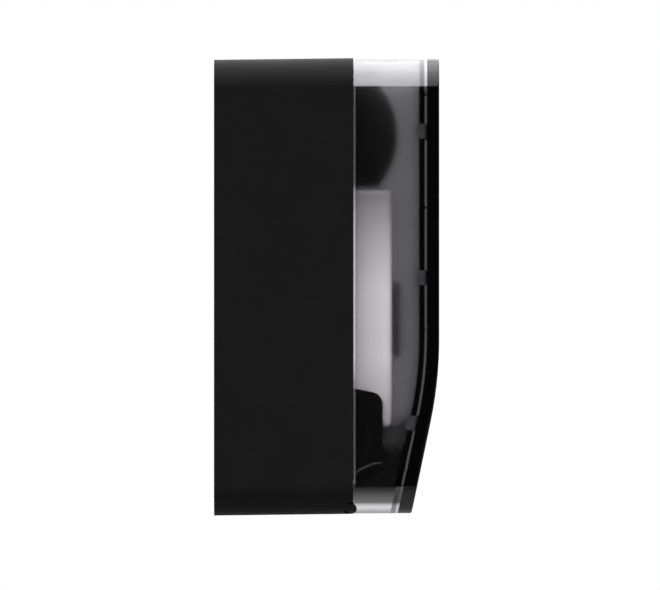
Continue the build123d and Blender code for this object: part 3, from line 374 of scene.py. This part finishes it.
def shellGlass(finish, look, zones):
    # polished outside, etched inside, darker in the front wall, where the darker tint is painted shade
    flow = finish.noise(look["flow"], softNoise)
    tone = finish.mottle(flow, look["tint"], 1 - look["tintDrift"], 1 + look["tintDrift"])
    tone = finish.layer(tone, [(zones["wallLine"], look["wallTint"])])
    rough = look["etched"] + zones["head"] * (look["etchedHead"] - look["etched"])
    rough = rough + zones["front"] * (look["etchedFront"] - rough)
    rough = rough + zones["outside"] * (look["polished"] - rough) + finish.drift(flow, look["roughDrift"])
    return finish.surface({"Base Color": tone, "Roughness": rough, "IOR": look["ior"],
                           "Transmission Weight": 1.0, "Specular Tint": shade(look["glare"])})


def shellFrostAndLight(finish, look, zones):
    # the matt share's tones, painted light and shade: pale at the crown and at the foot's lower end,
    # painted shade in the band above that, and greys at the crown's top, the top edge, the front wall, its
    # strip and the bores
    paleTone = finish.layer(shade(look["frostAndLight"]), [
        (zones["crownFade"], look["crownTop"]), (zones["footEnd"], look["footGrey"]),
        (zones["wallLine"], look["wallTone"]), (zones["strip"], look["stripGrey"]),
        (zones["edge"], look["edgeGrey"])])
    shadeBandTone = finish.layer(shade(look["shadeBand"]), [
        (zones["shadeBandFade"], look["shadeBandPale"]), (zones["wallLine"], look["wallShadeBand"]),
        (zones["strip"], look["stripShadeBand"]), (zones["bore"], look["boreGrey"])])
    pale = zones["footPale"].atLeast(zones["paleEnd"])
    return finish.surface({"Base Color": finish.blend(pale, shadeBandTone, paleTone),
                           "Roughness": look["frostAndLightRough"]})


def frostAndLightShare(look, zones):
    # how much of the shell is matt frost and painted light: its crown and foot outside, its rear rim and
    # its screw bores
    crown = zones["crown"] * look["crownFrostAndLight"] + zones["edge"] * (look["edgeFrostAndLight"] - look["crownFrostAndLight"])
    foot = zones["foot"] * look["footFrostAndLight"]
    # painted light: the rim is brighter where the bottle lies behind it
    glow = zones["glowTop"] * zones["glowFoot"] * look["rimGlow"]
    rim = zones["rim"] * zones["paleEnd"] * (look["rimPaintedLight"] + glow)
    ends = zones["outside"] * (crown + foot) * (1.0 + zones["strip"] + zones["wallLine"])
    return ends.atLeast(rim).atLeast(zones["bore"] * look["borePaintedLight"])


def smokedClear(name, look):
    finish = newFinish(name)
    zones = shellZones(finish, look)
    glass = shellGlass(finish, look, zones)
    frostAndLight = shellFrostAndLight(finish, look, zones)
    cover = finish.mix(frostAndLightShare(look, zones), glass, frostAndLight)
    clear = finish.add("ShaderNodeBsdfTransparent", {}, {"Color": shade(look["lampTint"])})
    lampRay = finish.add("ShaderNodeLightPath", {}, {}, "Is Shadow Ray")
    return finish.close(finish.mix(lampRay, cover, clear))


wear(["window_shell"], smokedClear("smokedCover", smokedShell))


bottleNatural = {"litTone": (0.83, 0.816, 0.844), "shadedTone": (0.125, 0.122, 0.128), "rough": 0.35,
                 "roughDrift": 0.1, "flow": 0.025, "drift": 0.03, "grain": 0.0015, "grainDepth": 0.00001,
                 "head": (0.066, 0.0), "headPower": 0.8, "base": (-0.1, -0.045), "baseShare": 0.25,
                 "rear": (-0.084, -0.108), "rearShare": 0.62}


def naturalBottle(name, look):
    # milky plastic with a random drift in tone, and painted shade: palest in the middle and greyer at the
    # head, the base and the rear
    finish = newFinish(name)
    flow = finish.noise(look["flow"], softNoise)
    grain = finish.noise(look["grain"], softNoise)
    head = finish.span(finish.axis("Z"), *look["head"]) ** look["headPower"]
    base = finish.span(finish.axis("Z"), *look["base"], look["baseShare"], 1.0)
    rear = finish.span(finish.axis("Y"), *look["rear"], look["rearShare"], 1.0)
    # painted shade: the head under the battery box, the base, and the rear near the case are darkened
    litShareWithMottle = head * base * rear + finish.drift(flow, look["drift"])
    tone = finish.blend(litShareWithMottle, shade(look["shadedTone"]), shade(look["litTone"]))
    rough = look["rough"] + finish.drift(grain, look["roughDrift"])
    return finish.close(finish.surface({"Base Color": tone, "Roughness": rough,
                                        "Normal": finish.bump(grain, look["grainDepth"])}))


wear(["cartridge_bottle"], naturalBottle("naturalBottle", bottleNatural))
print("cover and cartridge done")


metalWear = {"dark": 0.8, "light": 1.1, "roughDrift": 0.25}
brightSteel = {"colour": (0.55, 0.55, 0.56), "rough": 0.3, "scratch": 0.0006, "depth": 0.000004}
lockChrome = {"colour": (0.36, 0.36, 0.37), "rough": 0.25, "scratch": 0.0008, "depth": 0.000002}
turnedBrass = {"colour": (0.7, 0.52, 0.25), "rough": 0.3, "scratch": 0.0005, "depth": 0.000004}
blackedSteel = {"colour": (0.012, 0.012, 0.013), "rough": 0.45, "scratch": 0.0006, "depth": 0.000004,
                "paintedWindowGrey": (0.06, 0.06, 0.061), "paintedWindowGreyEnd": (0.0018, 0.0015)}
cellWrap = {"colour": (0.3, 0.3, 0.31), "rough": 0.35, "scratch": 0.002, "depth": 0.000002}


def metal(name, look):
    finish = newFinish(name)
    scratch = finish.noise(look["scratch"], scratchNoise)
    tone = finish.mottle(scratch, look["colour"], metalWear["dark"], metalWear["light"])
    rough = look["rough"] + finish.drift(scratch, metalWear["roughDrift"])
    metallic = 1.0
    if "paintedWindowGrey" in look:  # a screw whose point, in the cover's front wall, is painted matt grey: painted light standing in for the lit window grey around it
        paintedWindowGrey = finish.span(depthBehindSeat(finish, plateSeat), *look["paintedWindowGreyEnd"])
        tone = finish.layer(tone, [(paintedWindowGrey, look["paintedWindowGrey"])])
        metallic = 1.0 - paintedWindowGrey
    return finish.close(finish.surface({"Base Color": tone, "Roughness": rough, "Metallic": metallic,
                                        "Normal": finish.bump(scratch, look["depth"])}))


steelFinish = metal("brightSteel", brightSteel)
wear(["hinge_pins", "cam_screw", "box_screws", "battery_contacts", "battery_springs", "return_spring",
      "foam_screen", "chassis_screws", "guide_posts", "output_shaft", "idler_shaft", "motor_shaft",
      "plate_screws", "motor", "motor_screws", "board_screws"], steelFinish)
wear(["lock_sleeve", "lock_nut", "lock_plug", "lock_cam"], metal("lockChrome", lockChrome))
wear(["motor_pinion", "plate_pillars"], metal("turnedBrass", turnedBrass))
wear(["frame_screws", "guard_screws"], metal("blackedSteel", blackedSteel))
wear(["battery_cells"], metal("cellWrap", cellWrap))
print("metals done")


def pieceFrom(name, shape):
    bmesh.ops.recalc_face_normals(shape, faces=shape.faces[:])
    mesh = bpy.data.meshes.new(name)
    shape.to_mesh(mesh)
    shape.free()
    mesh.shade_smooth()
    piece = bpy.data.objects.new(name, mesh)
    scene.collection.objects.link(piece)
    return piece


def spinRound(shape, radius, sides, tilt, start, **path):
    # a round section, tilted about X, moved to its start and spun along its path
    ring = bmesh.ops.create_circle(shape, cap_ends=True, radius=radius, segments=sides)["verts"]
    bmesh.ops.rotate(shape, verts=ring, cent=(0, 0, 0), matrix=Matrix.Rotation(tilt, 3, "X"))
    bmesh.ops.translate(shape, verts=ring, vec=start)
    face = ring[0].link_faces[0]
    bmesh.ops.spin(shape, geom=[face, *face.edges, *face.verts], use_merge=False, **path)


archTrim = {"points": ((-0.0875, -0.1199), (-0.0955, -0.11425), (-0.1066, -0.1113)), "side": 0.0677,
            "radius": 0.0008, "sides": 10, "steps": 28}
# the bead's grey is a painted highlight, standing in for the light caught along the arch's edge
trimHighlightGrey = {"colour": (0.035, 0.035, 0.036), "rough": 0.4, "roughDrift": 0.1, "grain": 0.0006,
            "grainDepth": 0.00001, "flow": 0.01, "drift": 0.1, "shine": 0.3}


def arcThrough(first, middle, last):
    # centre of the circle through three points, and the angles of the first and the last
    start = Vector(first)
    toMiddle = Vector(middle) - start
    toLast = Vector(last) - start
    turn = 2 * (toMiddle.x * toLast.y - toMiddle.y * toLast.x)
    toCentre = Vector((toLast.y * toMiddle.length_squared - toMiddle.y * toLast.length_squared,
                       toMiddle.x * toLast.length_squared - toLast.x * toMiddle.length_squared)) / turn
    fromCentre = toLast - toCentre
    return start + toCentre, math.atan2(*(-toCentre).yx), math.atan2(*fromCentre.yx)


def beadRoundArch(name, trim):
    # the bead follows the arch, once on each cheek
    centre, startAngle, endAngle = arcThrough(*trim["points"])
    shape = bmesh.new()
    for side in (-trim["side"], trim["side"]):
        spinRound(shape, trim["radius"], trim["sides"], startAngle, (side, *trim["points"][0]),
                  cent=(side, *centre), axis=(1, 0, 0), angle=endAngle - startAngle, steps=trim["steps"])
    return pieceFrom(name, shape)


trim = beadRoundArch("arch_trim", archTrim)
trim.data.materials.append(mouldedPlastic("archTrim", trimHighlightGrey))
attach(trim, "case")
print("arch trim done")


pumpSpring = {"node": "return_spring", "joint": "pump_lift", "wire": 0.0006, "turns": 7, "sides": 10,
              "stepsPerTurn": 36}


def coiledWire(name, coil, low, high):
    # the wire climbs round the spring's middle line, from the bottom of its box to the top
    middle = (low + high) / 2
    radius = (high.x - low.x) / 2 - coil["wire"]
    steps = coil["turns"] * coil["stepsPerTurn"]
    climb = (high.z - low.z - 2 * coil["wire"]) / steps
    shape = bmesh.new()
    spinRound(shape, coil["wire"], coil["sides"], math.radians(90),
              (middle.x + radius, middle.y, low.z + coil["wire"]),
              cent=(middle.x, middle.y, 0), axis=(0, 0, 1), dvec=(0, 0, climb),
              angle=2 * math.pi * coil["turns"], steps=steps)
    return pieceFrom(name, shape)


springFoot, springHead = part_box(pumpSpring["node"])
liftTravel = next(joint["range_m"][1] for joint in frame["joints"] if joint["name"] == pumpSpring["joint"])
spring = coiledWire("pump_spring", pumpSpring, springFoot, springHead)
spring.data.materials.append(steelFinish)
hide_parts(pumpSpring["node"])
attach(spring, "case")
1 - liftTravel / (springHead.z - springFoot.z)
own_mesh(spring)
print("pump spring done")


boardGreen = {"colour": (0.02, 0.12, 0.05), "copper": (0.05, 0.2, 0.08), "rough": 0.35, "maskRough": 0.1,
              "track": 0.003, "trackEdge": (0.03, 0.06)}


def solderMask(name, look):
    # copper tracks show paler through the green
    finish = newFinish(name)
    mask = finish.span(finish.cellEdges(look["track"]), *look["trackEdge"])
    tone = finish.blend(mask, shade(look["copper"]), shade(look["colour"]))
    return finish.close(finish.surface({"Base Color": tone,
                                        "Roughness": look["rough"] + mask * look["maskRough"]}))


wear(["control_board", "sensor_board"], solderMask("solderMask", boardGreen))
print("boards done")


lampAbove = {"place": (0.0, -0.07, 1.5), "size": 1.4, "power": 4.5}
lampData = bpy.data.lights.new("topSoftbox", "AREA")
lampData.shape = "SQUARE"
lampData.size = lampAbove["size"]
lampData.energy = lampAbove["power"]
lamp = bpy.data.objects.new("topSoftbox", lampData)
scene.collection.objects.link(lamp)
lamp.location = lampAbove["place"]
lamp.visible_camera = False

floorPale = {"drop": 0.45, "size": 11.0, "colour": (0.47, 0.47, 0.47), "mirrored": (0.2, 0.2, 0.2),
             "far": (0.03, 0.03, 0.03), "fade": (0.3, 2.4), "seen": (0.55, 0.55, 0.55), "rough": 0.8}


def paleFloor(name, look):
    # darker far out, a painted falloff of light, and darker in mirrored light, and open to a camera below
    # it
    finish = newFinish(name)
    cameraRay = finish.add("ShaderNodeLightPath", {}, {}, "Is Camera Ray")
    mirrorRay = finish.other(cameraRay, "Is Glossy Ray")
    reach = finish.add("ShaderNodeVectorMath", {"operation": "LENGTH"}, {0: finish.place()}, "Value")
    tone = finish.layer(shade(look["colour"]), [
        (mirrorRay, look["mirrored"]), (finish.span(reach, *look["fade"]), look["far"]),
        (cameraRay, look["seen"])])
    top = finish.surface({"Base Color": tone, "Roughness": look["rough"]})
    below = finish.add("ShaderNodeNewGeometry", {}, {}, "Backfacing")
    return finish.close(finish.mix(below, top, finish.add("ShaderNodeBsdfTransparent", {}, {})))


bpy.ops.mesh.primitive_plane_add(size=floorPale["size"], location=(0, 0, cadBox[0].z - floorPale["drop"]))
floor = bpy.context.object
floor.name = "floor"
floor.data.materials.append(paleFloor("paleFloor", floorPale))

skySoft = {"colour": (1.0, 1.0, 1.0), "horizon": 0.62, "zenith": 2.4, "fill": 0.08, "seenThrough": 0.178,
           "mirrored": 0.02, "mirrorGain": 0.24, "skyline": (0.1, 0.14), "clearSkyline": (0.35, 0.6)}


def softSky(name, look):
    # white to the camera; to other rays bright overhead and dim below the skyline
    sky = Finish(bpy.data.worlds.new(name))
    cameraRay = sky.add("ShaderNodeLightPath", {}, {}, "Is Camera Ray")
    throughRay = sky.other(cameraRay, "Is Transmission Ray")
    mirrorRay = sky.other(cameraRay, "Is Glossy Ray")
    struckRay = sky.other(cameraRay, "Diffuse Depth").atMost(1.0)
    clearRay = throughRay * (1.0 - struckRay)
    aim = sky.add("ShaderNodeTexCoord", {}, {}, "Generated")
    height = sky.add("ShaderNodeSeparateXYZ", {}, {"Vector": aim}, "Z")
    rise = sky.span(height, *look["skyline"])
    clearRise = sky.span(height, *look["clearSkyline"])
    overhead = sky.span(height, 0.0, 1.0, look["horizon"], look["zenith"])
    overhead = overhead * (rise + clearRay * (clearRise - rise)) * (1.0 + mirrorRay * look["mirrorGain"])
    level = (look["fill"] + throughRay * (look["seenThrough"] - look["fill"])
             + mirrorRay * (look["mirrored"] - look["fill"]))
    strength = cameraRay + (1.0 - cameraRay) * (level + overhead)
    sockets = {"Color": shade(look["colour"]), "Strength": strength}
    return sky.close(sky.add("ShaderNodeBackground", {}, sockets))


scene.world = softSky("studio", skySoft)
print("studio done")


photo = {"width": 660, "millimetresPerPixel": 0.635, "nearSide": -0.072, "distance": 9.0,
         "middle": (-0.07371, -0.00466), "sensorWidth": 36.0, "turn": (90, 0, -90)}
cameraData = bpy.data.cameras.new("photoCamera")
cameraData.sensor_width = photo["sensorWidth"]
frameWidth = photo["width"] * photo["millimetresPerPixel"] / 1000
cameraData.lens = photo["sensorWidth"] * photo["distance"] / frameWidth
camera = bpy.data.objects.new("photoCamera", cameraData)
scene.collection.objects.link(camera)
camera.location = (photo["nearSide"] - photo["distance"], *photo["middle"])
camera.rotation_euler = [math.radians(angle) for angle in photo["turn"]]
scene.camera = camera

print("camera done")
